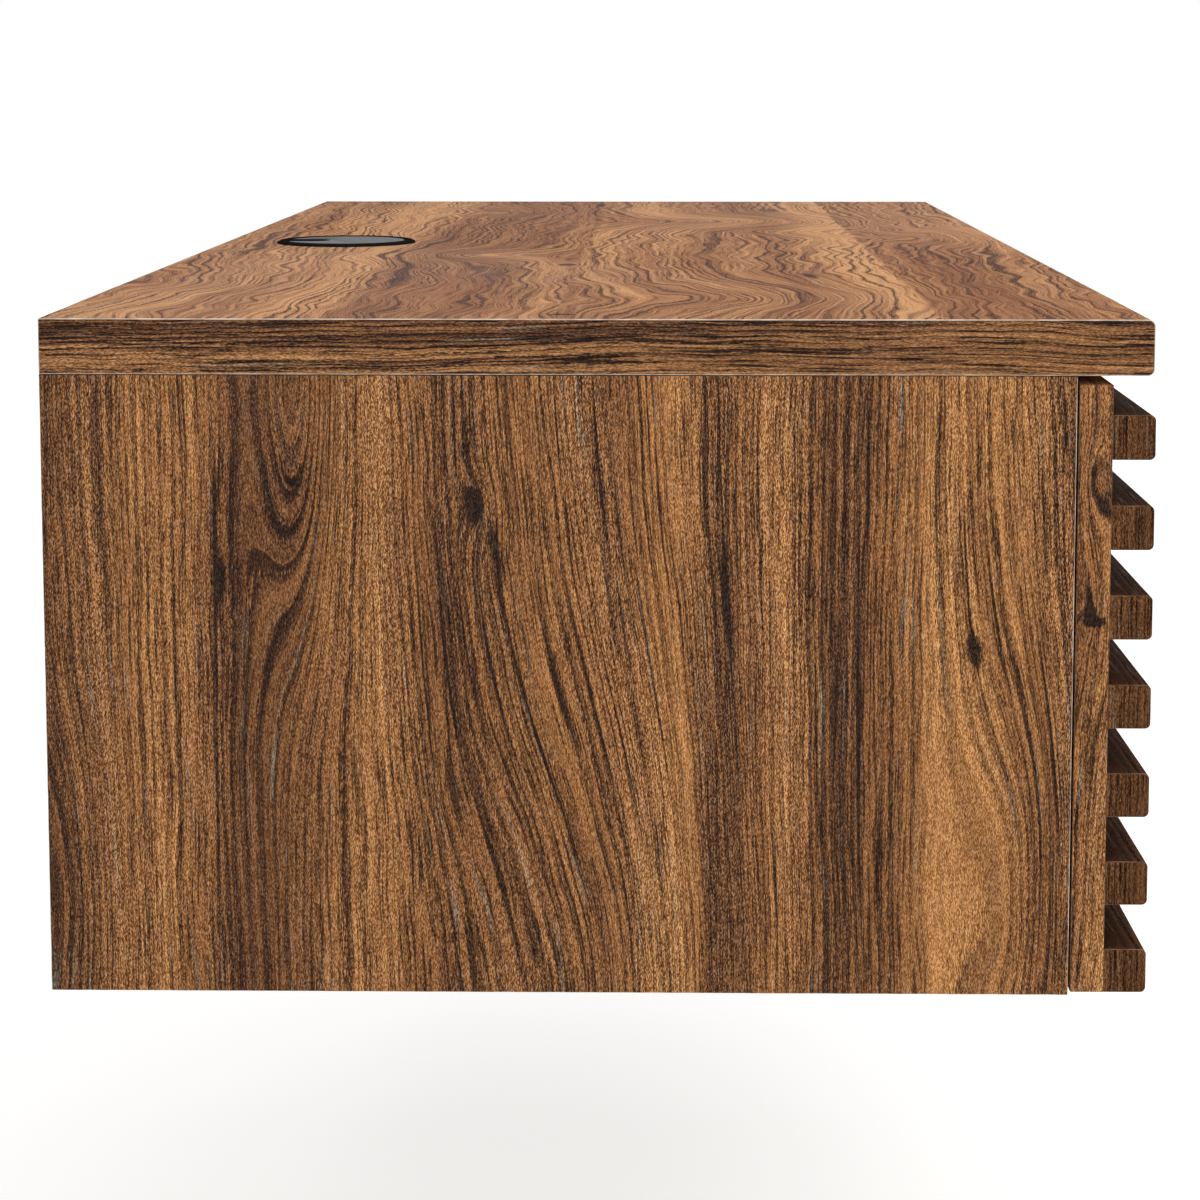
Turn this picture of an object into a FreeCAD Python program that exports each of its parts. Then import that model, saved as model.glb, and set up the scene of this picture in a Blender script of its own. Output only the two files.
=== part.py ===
import FreeCAD, Part

import os

import Sketcher
from FreeCAD import Placement, Rotation, Vector

# A wall-hung writing desk: a worktop on two drawer pedestals with an open kneehole between
# them, all carried by one rail that is screwed to the wall.
# Row frame: X along the desk, -Y towards the sitter, +Z up. The wall is the plane y = 0 and
# the origin is the middle of the four wall-screw holes in the rail.
# The left pedestal is modelled and the right one is its mirror image in the plane x = 0.
doc = FreeCAD.newDocument("floating_wall_desk")

slat_count = 7
balls_per_row = 6

driving_sizes = {
    # Worktop
    "desk_length": 1003,
    "desk_depth": 495,
    "top_thickness": 25,
    "top_round": 3,
    # Carcass of each pedestal
    "panel": 15,
    "pedestal_width": 250,
    "side_height": 282,
    "side_inset": 34,
    "back_panel": 3,
    "back_setback": 9,
    "back_groove_depth": 4,
    "groove_play": 0.1,
    "groove_end_play": 0.5,
    # Wall rail and its screw holes
    "rail_height": 90,
    "rail_depth": 15,
    "notch_play": 0.2,
    "wall_hole_spacing": 406.4,
    "wall_hole_rise": 45,
    "wall_hole_radius": 3.5,
    # Drawer front and its slats
    "front_gap": 1,
    "front_thickness": 15,
    "front_top_gap": 4,
    "front_reveal": 1.5,
    "slat_depth": 19,
    "slat_height": 20,
    "slat_top_margin": 13.5,
    "slat_round": 2.5,
    "slat_screw_inset": 60,
    # Drawer box
    "box_board": 12,
    "box_rear_room": 47,
    "box_top_room": 53,
    "box_lift": 14,
    "box_bottom": 4,
    "bottom_rise": 10,
    "bottom_groove_depth": 6,
    "back_screw_inset": 25,
    # Ball-bearing drawer runners
    "runner_width": 12.7,
    "runner_height": 35,
    "runner_gauge": 1.2,
    "runner_setback": 2,
    "runner_rise": 75,
    "runner_lip": 1.6,
    "runner_screw_inset": 40,
    "drawer_travel": 280,
    "ball_diameter": 5,
    "ball_play": 0.05,
    "cage_gauge": 0.6,
    "cage_play": 0.3,
    "cage_leg": 3.25,
    "stop_height": 4,
    # Cable grommet in the middle of the worktop
    "grommet_setback": 77,
    "grommet_hole_radius": 40,
    "grommet_fit": 0.2,
    "grommet_flange": 3.5,
    "grommet_height": 1.8,
    "grommet_bevel": 2,
    "grommet_edge": 0.6,
    "grommet_wall": 1.5,
    "grommet_depth": 20,
    "grommet_ledge": 4.8,
    "cap_thickness": 1.8,
    "cap_radius": 36.9,
    "cap_play": 0.05,
    "cap_recess": 0.4,
    "cap_chamfer": 0.5,
    "cap_edge_play": 0.3,
    "cap_skirt_depth": 6,
    "cap_skirt_wall": 1.2,
    "cable_slot_width": 20,
    "cable_slot_start": 20,
    # Cam fittings
    "cam_radius": 7.4,
    "cam_height": 12,
    "cam_reach": 34,
    "cam_bolt_thread_radius": 2.5,
    "cam_bolt_thread_length": 11,
    "cam_bolt_collar_radius": 3.5,
    "cam_bolt_collar": 2,
    "cam_bolt_stem_radius": 2.4,
    "cam_bolt_head_radius": 3.2,
    "cam_bolt_head_back": 2.4,
    "cam_bolt_head_front": 1.6,
    "cam_bolt_head_chamfer": 0.4,
    "cam_bolt_head_bevel": 0.8,
    "cam_bolt_face_radius": 1.9,
    "cam_bolt_tip": 0.75,
    "cam_bolt_tip_radius": 1.75,
    "cam_play": 0.1,
    "cam_jaw_play": 0.4,
    "cam_stem_play": 0.3,
    "cam_drive": 1.4,
    "cam_front_inset": 50,
    "cam_wall_inset": 60,
    "rail_cam_outer": 380,
    "rail_cam_inner": 130,
    "rail_cam_height": 10,
    # Dowels
    "dowel_radius": 4,
    "dowel_length": 30,
    "dowel_embed": 11,
    "dowel_chamfer": 0.8,
    "dowel_play": 0.1,
    "dowel_spacing": 32,
    # Screws
    "screw_radius": 2,
    "screw_length": 25,
    "screw_head_radius": 4,
    "screw_head": 2.4,
    "screw_tip": 4,
    "small_screw_radius": 1.75,
    "small_screw_length": 11,
    "small_screw_head_radius": 3.5,
    "small_screw_head": 1.2,
    "small_screw_crown": 0.6,
    "small_screw_crown_radius": 2.45,
    "screw_play": 0.05,
    "screw_drive": 0.9,
    "drive_share": 0.6,
    # Soft dots that the drawer fronts close against
    "bumper_radius": 4,
    "bumper_inset": 20,
    "bumper_play": 0.1,
}

sheet = doc.addObject("Spreadsheet::Sheet", "Size")
for row, (alias, number) in enumerate(driving_sizes.items(), start=1):
    sheet.set(f"A{row}", alias)
    sheet.set(f"B{row}", str(number))
    sheet.setAlias(f"B{row}", alias)
doc.recompute()

# ---- Places that several pieces share, as formulas of the sizes above -------------------

left_end = "(-Size.desk_length / 2)"
top_under = "(Size.rail_height / 2)"
top_face = f"({top_under} + Size.top_thickness)"
side_floor = f"({top_under} - Size.side_height)"
side_depth = "(Size.desk_depth - Size.side_inset)"
side_front = f"(-{side_depth})"
bay_left = f"({left_end} + Size.panel)"
bay_width = "(Size.pedestal_width - 2 * Size.panel)"
bay_right = f"({bay_left} + {bay_width})"
bay_floor = f"({side_floor} + Size.panel)"
bay_middle = f"({left_end} + Size.pedestal_width / 2)"
half_panel = "(Size.panel / 2)"

front_rear = f"({side_front} - Size.front_gap)"
front_face = f"({front_rear} - Size.front_thickness)"
front_floor = f"({side_floor} + Size.front_reveal)"
front_height = "(Size.side_height - Size.front_reveal - Size.front_top_gap)"
slat_span = f"({front_height} - Size.slat_height - Size.slat_top_margin)"
slat_pitch = f"({slat_span} / {slat_count - 1})"

box_left = f"({bay_left} + Size.runner_width)"
box_width = f"({bay_width} - 2 * Size.runner_width)"
box_inner_left = f"({box_left} + Size.box_board)"
box_inner_width = f"({box_width} - 2 * Size.box_board)"
box_floor = f"({bay_floor} + Size.box_lift)"
box_height = f"({top_under} - {box_floor} - Size.box_top_room)"
# The box and its runners stop short of the wall rail.
box_length = f"({side_depth} + Size.front_gap - Size.rail_depth - Size.box_rear_room)"
box_rear = f"({front_rear} + {box_length})"
box_back_face = f"({box_rear} - Size.box_board)"

runner_length = box_length
runner_front = f"({side_front} + Size.runner_setback)"
runner_axis_height = f"({box_floor} + Size.runner_rise)"
grommet_line = "(-Size.grommet_setback)"

# Turns that point a solid's own +Z along an axis of the row
turns = {
    "+x": Rotation(Vector(0, 1, 0), 90),
    "-x": Rotation(Vector(0, 1, 0), -90),
    "+y": Rotation(Vector(1, 0, 0), -90),
    "-y": Rotation(Vector(1, 0, 0), 90),
    "+z": Rotation(),
    "-z": Rotation(Vector(1, 0, 0), 180),
}
unit_vectors = {way: turn.multVec(Vector(0, 0, 1)) for way, turn in turns.items()}
opposite = {"+x": "-x", "-x": "+x", "+y": "-y", "-y": "+y", "+z": "-z", "-z": "+z"}

nodes = []
cutters = {}


# ---- Helpers ----------------------------------------------------------------------------


def bind(thing, **formulas):
    """Bind properties of an object to formulas of the sizes."""
    for name, formula in formulas.items():
        thing.setExpression(name, formula)
    return thing


def put(thing, place, turn=Rotation()):
    """Turn an object and bind its position to three formulas."""
    thing.Placement = Placement(Vector(), turn)
    for axis, formula in zip("xyz", place):
        thing.setExpression(f"Placement.Base.{axis}", formula)
    return thing


def shifted(place, way, distance):
    """The place moved by a formula's distance along an axis."""
    moved = list(place)
    index = "xyz".index(way[1])
    moved[index] = f"({place[index]} {way[0]} ({distance}))"
    return tuple(moved)


def block(name, place, size):
    """A rectangular board from its lowest corner."""
    box = doc.addObject("Part::Box", name)
    bind(box, Length=size[0], Width=size[1], Height=size[2])
    return put(box, place)


def rod(name, place, way, radius, length):
    """A cylinder that starts at a place and runs along an axis."""
    cylinder = doc.addObject("Part::Cylinder", name)
    bind(cylinder, Radius=radius, Height=length)
    return put(cylinder, place, turns[way])


def fused(name, things):
    """One tool from several solids."""
    if len(things) == 1:
        return things[0]
    union = doc.addObject("Part::MultiFuse", name)
    union.Shapes = things
    return union


def grouped(name, things):
    """Several solids kept apart in one object."""
    group = doc.addObject("Part::Compound", name)
    group.Links = things
    return group


def mirrored(source, name, plane="0"):
    """The mirror image of an object in a plane across X."""
    image = doc.addObject("Part::Mirroring", name)
    image.Source = source
    image.Normal = Vector(1, 0, 0)
    image.setExpression("Base.x", plane)
    return image


def copy_of(source, name, place, turn=Rotation()):
    """A linked copy of a small part, such as one screw of a set."""
    link = doc.addObject("App::Link", name)
    link.LinkedObject = source
    return put(link, place, turn)


def node(thing, label):
    """Mark an object as a sub-part and name it."""
    thing.Label = label
    nodes.append(thing)
    return thing


def node_pair(thing, stem):
    """A left sub-part and its mirror image on the right."""
    node(thing, f"{stem}_left")
    node(mirrored(thing, f"{stem}_image"), f"{stem}_right")
    return thing


def cut_later(piece, tool):
    """Note a cutting solid for a piece; machined() uses them all."""
    cutters.setdefault(piece, []).append(tool)


def machined(piece, stock, both_halves=False):
    """The stock of a piece with all its noted holes and grooves cut away."""
    tool = fused(f"{piece}_holes", cutters[piece])
    if both_halves:
        image = mirrored(tool, f"{piece}_holes_image")
        tool = fused(f"{piece}_all_holes", [tool, image])
    result = doc.addObject("Part::Cut", f"{piece}_machined")
    result.Base = stock
    result.Tool = tool
    return result


def outline(body, plane, corners):
    """A closed sketch of straight lines whose corners are formulas of the sizes."""
    sketch = body.newObject("Sketcher::SketchObject", f"{body.Name}_outline")
    support = next(item for item in body.Origin.OriginFeatures if item.Role == plane)
    sketch.AttachmentSupport = [(support, "")]
    sketch.MapMode = "FlatFace"
    points = []
    for across, up in corners:
        points.append(Vector(sheet.evalExpression(across), sheet.evalExpression(up), 0))
    count = len(points)
    for index in range(count):
        sketch.addGeometry(Part.LineSegment(points[index], points[(index + 1) % count]), False)
    for index in range(count):
        sketch.addConstraint(Sketcher.Constraint("Coincident", index, 2, (index + 1) % count, 1))
    for index, (across, up) in enumerate(corners):
        for kind, formula, value in (
            ("DistanceX", across, points[index].x),
            ("DistanceY", up, points[index].y),
        ):
            number = sketch.addConstraint(Sketcher.Constraint(kind, -1, 1, index, 1, value))
            sketch.setExpression(f"Constraints[{number}]", formula)
    return sketch


def circle_sketch(body, plane, across, up, radius):
    """A sketch of one circle whose centre and radius are formulas of the sizes."""
    sketch = body.newObject("Sketcher::SketchObject", f"{body.Name}_circle")
    support = next(item for item in body.Origin.OriginFeatures if item.Role == plane)
    sketch.AttachmentSupport = [(support, "")]
    sketch.MapMode = "FlatFace"
    centre = Vector(sheet.evalExpression(across), sheet.evalExpression(up), 0)
    size = float(sheet.evalExpression(radius))
    sketch.addGeometry(Part.Circle(centre, Vector(0, 0, 1), size), False)
    for kind, formula, value in (
        (("DistanceX", -1, 1, 0, 3), across, centre.x),
        (("DistanceY", -1, 1, 0, 3), up, centre.y),
        (("Radius", 0), radius, size),
    ):
        number = sketch.addConstraint(Sketcher.Constraint(*kind, value))
        sketch.setExpression(f"Constraints[{number}]", formula)
    return sketch


def extruded(name, plane, corners, length, reverse=False):
    """A body padded from a straight-sided outline."""
    body = doc.addObject("PartDesign::Body", name)
    pad = body.newObject("PartDesign::Pad", f"{name}_pad")
    pad.Profile = outline(body, plane, corners)
    pad.Reversed = reverse
    bind(pad, Length=length)
    return body


def turned(name, corners):
    """A body revolved about Z from an outline of (radius, height) corners."""
    body = doc.addObject("PartDesign::Body", name)
    sketch = outline(body, "XZ_Plane", corners)
    turning = body.newObject("PartDesign::Revolution", f"{name}_turning")
    turning.Profile = sketch
    turning.ReferenceAxis = (sketch, ["V_Axis"])
    turning.Angle = 360
    return body


def round_edges(body, radius, chosen):
    """Fillet the edges of a body's tip that a test of the edge picks out."""
    doc.recompute()
    tip = body.Tip
    names = []
    for number, edge in enumerate(tip.Shape.Edges, start=1):
        if chosen(edge.BoundBox):
            names.append(f"Edge{number}")
    fillet = body.newObject("PartDesign::Fillet", f"{body.Name}_rounding")
    fillet.Base = (tip, names)
    bind(fillet, Radius=radius)
    return body


def pocket_through(body, sketch):
    """Cut a sketch through a body both ways."""
    pocket = body.newObject("PartDesign::Pocket", f"{sketch.Name}_pocket")
    pocket.Profile = sketch
    pocket.Type = "ThroughAll"
    pocket.Midplane = True
    return pocket


def cross_recess(name, radius, width, depth):
    """The cross of a screwdriver recess, sunk from z = 0."""
    half = f"({radius} * Size.drive_share)"
    arms = [
        block(f"{name}_arm_x", (f"-{half}", f"-({width}) / 2", f"-({depth})"),
              (f"2 * {half}", width, depth)),
        block(f"{name}_arm_y", (f"-({width}) / 2", f"-{half}", f"-({depth})"),
              (width, f"2 * {half}", depth)),
    ]
    return fused(f"{name}_recess", arms)


# ---- Fasteners: one master of each, linked wherever it is used --------------------------

# Countersunk screw: flush head at z = 0, shank down along -Z, pointed tip.
screw_blank = turned("screw_blank", [
    ("0", "0"),
    ("Size.screw_head_radius", "0"),
    ("Size.screw_radius", "-Size.screw_head"),
    ("Size.screw_radius", "-Size.screw_length + Size.screw_tip"),
    ("0", "-Size.screw_length"),
])
cut_later("screw", cross_recess("screw", "Size.screw_head_radius", "Size.screw_drive",
                                "Size.screw_drive"))
screw = machined("screw", screw_blank)

# Low pan-head screw of the runners: the head sits on z = 0 and the shank runs along -Z.
small_screw_blank = turned("small_screw_blank", [
    ("0", "Size.small_screw_head"),
    ("Size.small_screw_crown_radius", "Size.small_screw_head"),
    ("Size.small_screw_head_radius", "Size.small_screw_head - Size.small_screw_crown"),
    ("Size.small_screw_head_radius", "0"),
    ("Size.small_screw_radius", "0"),
    ("Size.small_screw_radius", "-Size.small_screw_length + Size.small_screw_radius"),
    ("0", "-Size.small_screw_length"),
])
small_recess = cross_recess("small_screw", "Size.small_screw_head_radius", "Size.screw_drive",
                            "Size.small_screw_head")
small_recess = put(grouped("small_screw_recess_up", [small_recess]),
                   ("0", "0", "Size.small_screw_head + Size.small_screw_crown"))
cut_later("small_screw", small_recess)
small_screw = machined("small_screw", small_screw_blank)

# Cam bolt: its thread fills z < 0 in the face board, its head reaches into the cam at +Z.
cam_bolt = turned("cam_bolt", [
    ("0", "-Size.cam_bolt_thread_length"),
    ("Size.cam_bolt_tip_radius", "-Size.cam_bolt_thread_length"),
    ("Size.cam_bolt_thread_radius", "-Size.cam_bolt_thread_length + Size.cam_bolt_tip"),
    ("Size.cam_bolt_thread_radius", "0"),
    ("Size.cam_bolt_collar_radius", "0"),
    ("Size.cam_bolt_collar_radius", "Size.cam_bolt_collar"),
    ("Size.cam_bolt_stem_radius", "Size.cam_bolt_collar"),
    ("Size.cam_bolt_stem_radius", "Size.cam_reach - Size.cam_bolt_head_back"),
    ("Size.cam_bolt_head_radius",
     "Size.cam_reach - Size.cam_bolt_head_back + Size.cam_bolt_head_chamfer"),
    ("Size.cam_bolt_head_radius",
     "Size.cam_reach + Size.cam_bolt_head_front - Size.cam_bolt_head_bevel"),
    ("Size.cam_bolt_face_radius", "Size.cam_reach + Size.cam_bolt_head_front"),
    ("0", "Size.cam_reach + Size.cam_bolt_head_front"),
])

# Cam lock: a drum flush with the board at z = 0, open below, with a jaw along +X that the
# bolt's stem passes and a chamber behind it that traps the bolt's head.
cam_drum = rod("cam_drum", ("0", "0", "0"), "-z", "Size.cam_radius", "Size.cam_height")
chamber_half = "(Size.cam_bolt_head_radius + Size.cam_jaw_play)"
jaw_half = "(Size.cam_bolt_stem_radius + Size.cam_stem_play)"
chamber_reach = "(Size.cam_bolt_head_back + Size.cam_jaw_play)"
cut_later("cam", block(
    "cam_chamber",
    (f"-{chamber_reach}", f"-{chamber_half}", "-Size.cam_height"),
    (f"2 * {chamber_reach}", f"2 * {chamber_half}",
     f"Size.cam_height - {half_panel} + {chamber_half}"),
))
cut_later("cam", block(
    "cam_jaw",
    ("0", f"-{jaw_half}", "-Size.cam_height"),
    ("Size.cam_radius", f"2 * {jaw_half}",
     f"Size.cam_height - {half_panel} + {jaw_half}"),
))
cut_later("cam", cross_recess("cam", "Size.cam_radius", "Size.cam_drive", "Size.cam_drive"))
cam = machined("cam", cam_drum)

# Dowel: chamfered beech peg, centred on its length.
dowel_half = "(Size.dowel_length / 2)"
dowel = turned("dowel", [
    ("0", f"-{dowel_half}"),
    ("Size.dowel_radius - Size.dowel_chamfer", f"-{dowel_half}"),
    ("Size.dowel_radius", f"-{dowel_half} + Size.dowel_chamfer"),
    ("Size.dowel_radius", f"{dowel_half} - Size.dowel_chamfer"),
    ("Size.dowel_radius - Size.dowel_chamfer", dowel_half),
    ("0", dowel_half),
])

# Holes for the two screws: the screw's own outline with a little play.
screw_hole = turned("screw_hole", [
    ("0", "0"),
    ("Size.screw_head_radius + Size.screw_play", "0"),
    ("Size.screw_radius + Size.screw_play", "-Size.screw_head"),
    ("Size.screw_radius + Size.screw_play", "-Size.screw_length - Size.groove_end_play"),
    ("0", "-Size.screw_length - Size.groove_end_play"),
])
small_screw_hole = turned("small_screw_hole", [
    ("0", "0"),
    ("Size.small_screw_radius + Size.screw_play", "0"),
    ("Size.small_screw_radius + Size.screw_play",
     "-Size.small_screw_length - Size.groove_end_play"),
    ("0", "-Size.small_screw_length - Size.groove_end_play"),
])

cams = []
cam_bolts = []
dowels = []


def screw_joint(name, pieces, place, head_way, fastener=screw, hole=screw_hole):
    """A screw whose head faces along an axis, and its hole in each piece it passes."""
    bore = copy_of(hole, f"{name}_hole", place, turns[head_way])
    for piece in pieces:
        cut_later(piece, bore)
    return copy_of(fastener, f"{name}_screw", place, turns[head_way])


def small_screw_joint(name, pieces, place, head_way):
    """The same with a pan-head runner screw."""
    return screw_joint(name, pieces, place, head_way, small_screw, small_screw_hole)


def cam_joint(name, face_board, edge_board, place, way, cam_face):
    """Cam bolt in one board's face and cam in the other board, along an axis."""
    thread_depth = "(Size.cam_bolt_thread_length + Size.cam_jaw_play)"
    cam_place = shifted(shifted(place, way, "Size.cam_reach"), cam_face, half_panel)
    cut_later(face_board, rod(f"{name}_thread_hole", place, opposite[way],
                              "Size.cam_bolt_thread_radius + Size.screw_play", thread_depth))
    cut_later(edge_board, rod(f"{name}_stem_hole", place, way,
                              "Size.cam_bolt_collar_radius + Size.cam_jaw_play",
                              "Size.cam_reach"))
    cut_later(edge_board, rod(f"{name}_cam_hole", cam_place, opposite[cam_face],
                              "Size.cam_radius + Size.cam_play",
                              "Size.cam_height + Size.cam_jaw_play"))
    jaw_way = -unit_vectors[way]
    upright = unit_vectors[cam_face]
    turn = Rotation(jaw_way, upright.cross(jaw_way), upright, "ZXY")
    cams.append(copy_of(cam, f"{name}_cam", cam_place, turn))
    cam_bolts.append(copy_of(cam_bolt, f"{name}_bolt", place, turns[way]))


def dowel_joint(name, face_board, edge_board, place, way):
    """Dowel across the meeting faces of two boards, along an axis."""
    start = shifted(place, way, "-Size.dowel_embed - Size.groove_end_play")
    hole = rod(f"{name}_hole", start, way, "Size.dowel_radius + Size.dowel_play",
               "Size.dowel_length + 2 * Size.groove_end_play")
    cut_later(face_board, hole)
    cut_later(edge_board, hole)
    middle = shifted(place, way, f"{dowel_half} - Size.dowel_embed")
    dowels.append(copy_of(dowel, f"{name}_dowel", middle, turns[way]))


# Each pedestal's boards meet at a front and a rear fitting: a cam with a dowel beside it.
front_fitting = f"({side_front} + Size.cam_front_inset)"
rear_fitting = "(-Size.cam_wall_inset)"
for side, x_middle, x_face, inward in (
    ("outer_side", f"({left_end} + {half_panel})", bay_left, "+x"),
    ("inner_side", f"({bay_right} + {half_panel})", bay_right, "-x"),
):
    for end, y_cam, y_way in (("front", front_fitting, "+"), ("rear", rear_fitting, "-")):
        y_dowel = f"({y_cam} {y_way} Size.dowel_spacing)"
        cam_joint(f"{side}_top_{end}", "worktop", side, (x_middle, y_cam, top_under), "-z",
                  inward)
        dowel_joint(f"{side}_top_{end}", "worktop", side, (x_middle, y_dowel, top_under), "-z")
        z_bottom = f"({side_floor} + {half_panel})"
        cam_joint(f"{side}_bottom_{end}", side, "pedestal_bottom",
                  (x_face, y_cam, z_bottom), inward, "-z")
        dowel_joint(f"{side}_bottom_{end}", side, "pedestal_bottom",
                    (x_face, y_dowel, z_bottom), inward)

# The rail hangs from the worktop and is held between the two outer sides.
rail_line = "(-Size.rail_depth / 2)"
for end, reach in (("outer", "Size.rail_cam_outer"), ("inner", "Size.rail_cam_inner")):
    place = (f"(-{reach})", rail_line, top_under)
    cam_joint(f"rail_top_{end}", "worktop", "wall_rail", place, "-z", "-y")
    dowel_joint(f"rail_top_{end}", "worktop", "wall_rail",
                shifted(place, "-x", "Size.dowel_spacing"), "-z")
rail_end = (bay_left, rail_line, "Size.rail_cam_height")
cam_joint("rail_end", "outer_side", "wall_rail", rail_end, "+x", "-y")
dowel_joint("rail_end", "outer_side", "wall_rail",
            shifted(rail_end, "-z", "Size.dowel_spacing"), "+x")

# ---- Carcass ----------------------------------------------------------------------------

# Thin back of the pedestal, held in grooves of the sides, the bottom and the rail.
groove_reach = "(Size.back_groove_depth - Size.groove_end_play)"
back_rear = "(-Size.back_setback)"
back_place = (f"{bay_left} - {groove_reach}", f"{back_rear} - Size.back_panel",
              f"{bay_floor} - {groove_reach}")
back_size = (
    f"{bay_width} + 2 * {groove_reach}",
    "Size.back_panel",
    f"-Size.rail_height / 2 - {bay_floor} + 2 * {groove_reach}",
)
back = block("back_board", back_place, back_size)
groove_front = f"({back_rear} - Size.back_panel - Size.groove_play)"
back_groove = block(
    "back_groove",
    (f"{bay_left} - Size.back_groove_depth", groove_front,
     f"{bay_floor} - Size.back_groove_depth"),
    (f"{bay_width} + 2 * Size.back_groove_depth", "Size.back_panel + 2 * Size.groove_play",
     f"-Size.rail_height / 2 - {bay_floor} + 2 * Size.back_groove_depth"),
)
for piece in ("outer_side", "inner_side", "pedestal_bottom"):
    cut_later(piece, back_groove)
cut_later("wall_rail", block(
    "rail_groove",
    ("-Size.desk_length / 2", groove_front, "-Size.rail_height / 2"),
    ("Size.desk_length", "Size.back_panel + 2 * Size.groove_play", "Size.back_groove_depth"),
))

outer_side_board = block("outer_side_board", (left_end, side_front, side_floor),
                         ("Size.panel", side_depth, "Size.side_height"))
inner_side_board = block("inner_side_board", (bay_right, side_front, side_floor),
                         ("Size.panel", side_depth, "Size.side_height"))
bottom_board = block("bottom_board", (bay_left, side_front, side_floor),
                     (bay_width, side_depth, "Size.panel"))

# The inner side is notched at the top of its rear edge, where the rail passes it.
cut_later("inner_side", block(
    "rail_notch",
    (bay_right, "-Size.rail_depth - Size.notch_play",
     "-Size.rail_height / 2 - Size.notch_play"),
    ("Size.panel", "Size.rail_depth + Size.notch_play", "Size.rail_height + Size.notch_play"),
))

# Wall rail between the outer sides, with four screw holes reached from the kneehole.
rail_board = block("rail_board", (bay_left, "-Size.rail_depth", "-Size.rail_height / 2"),
                   ("Size.desk_length - 2 * Size.panel", "Size.rail_depth",
                    "Size.rail_height"))
for level, sign in (("upper", ""), ("lower", "-")):
    cut_later("wall_rail", rod(
        f"wall_hole_{level}",
        ("-Size.wall_hole_spacing / 2", "-Size.rail_depth", f"{sign}Size.wall_hole_rise / 2"),
        "+y", "Size.wall_hole_radius", "Size.rail_depth"))

# Worktop: one board, its long front edges rounded, with the grommet's hole near the wall.
worktop_board = extruded("worktop_board", "XY_Plane", [
    (left_end, "-Size.desk_depth"),
    ("Size.desk_length / 2", "-Size.desk_depth"),
    ("Size.desk_length / 2", "0"),
    (left_end, "0"),
], "Size.top_thickness")
put(worktop_board, ("0", "0", top_under))
round_edges(worktop_board, "Size.top_round",
            lambda box: box.YMax < -driving_sizes["desk_depth"] + 0.001 and box.XLength > 1)
pocket_through(worktop_board, circle_sketch(worktop_board, "XY_Plane", "0", grommet_line,
                                            "Size.grommet_hole_radius"))

# ---- Drawer runners: a cabinet member, a drawer member and balls in cages between them --

half_height = "(Size.runner_height / 2)"
gauge = "Size.runner_gauge"
ball_radius = "(Size.ball_diameter / 2)"
ball_x = "(Size.runner_width / 2)"
ball_z = f"({half_height} - {gauge} - Size.ball_play - {ball_radius})"
race_z = f"({ball_z} - {ball_radius} - Size.ball_play)"
lip_gap = "Size.cage_play"
outer_lip = f"({ball_x} + {ball_radius} + {lip_gap})"
inner_lip = f"({ball_x} - {ball_radius} - {lip_gap} - {gauge})"

# Cabinet member: a channel open towards the drawer, with lips that keep the balls in.
cabinet_channel = extruded("cabinet_channel", "XZ_Plane", [
    ("0", f"-{half_height}"),
    (f"{outer_lip} + {gauge}", f"-{half_height}"),
    (f"{outer_lip} + {gauge}", f"-{half_height} + {gauge} + Size.runner_lip"),
    (outer_lip, f"-{half_height} + {gauge} + Size.runner_lip"),
    (outer_lip, f"-{half_height} + {gauge}"),
    (gauge, f"-{half_height} + {gauge}"),
    (gauge, f"{half_height} - {gauge}"),
    (outer_lip, f"{half_height} - {gauge}"),
    (outer_lip, f"{half_height} - {gauge} - Size.runner_lip"),
    (f"{outer_lip} + {gauge}", f"{half_height} - {gauge} - Size.runner_lip"),
    (f"{outer_lip} + {gauge}", half_height),
    ("0", half_height),
], runner_length, reverse=True)

# Drawer member: a narrower channel turned the other way.
drawer_channel = extruded("drawer_channel", "XZ_Plane", [
    ("Size.runner_width", f"-{race_z}"),
    ("Size.runner_width", race_z),
    (f"{inner_lip} + {gauge}", race_z),
    (f"{inner_lip} + {gauge}", f"{race_z} + Size.runner_lip"),
    (inner_lip, f"{race_z} + Size.runner_lip"),
    (inner_lip, f"{race_z} - {gauge}"),
    (f"Size.runner_width - {gauge}", f"{race_z} - {gauge}"),
    (f"Size.runner_width - {gauge}", f"-{race_z} + {gauge}"),
    (inner_lip, f"-{race_z} + {gauge}"),
    (inner_lip, f"-{race_z} - Size.runner_lip"),
    (f"{inner_lip} + {gauge}", f"-{race_z} - Size.runner_lip"),
    (f"{inner_lip} + {gauge}", f"-{race_z}"),
], runner_length, reverse=True)
for channel in (cabinet_channel, drawer_channel):
    put(channel, (bay_left, runner_front, runner_axis_height))

# Ball cage: an angle strip with its balls in a row of holes, one above and one below.
cage_length = f"({runner_length} - Size.drawer_travel - 2 * {gauge} - 2 * Size.cage_play)"
cage_x = f"({gauge} + Size.cage_play)"
cage_front = f"({runner_front} + {gauge} + Size.cage_play + Size.drawer_travel / 2)"
cage_top = f"({ball_z} + Size.cage_gauge / 2)"
cage_low = f"({cage_top} - Size.cage_gauge)"
cage_angle = extruded("cage_angle", "XZ_Plane", [
    (cage_x, f"{cage_low} - Size.cage_leg"),
    (f"{cage_x} + Size.cage_gauge", f"{cage_low} - Size.cage_leg"),
    (f"{cage_x} + Size.cage_gauge", cage_low),
    (f"{outer_lip} + {gauge}", cage_low),
    (f"{outer_lip} + {gauge}", cage_top),
    (cage_x, cage_top),
], cage_length, reverse=True)
ball = bind(doc.addObject("Part::Sphere", "ball"), Radius=ball_radius)
balls = []
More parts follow.
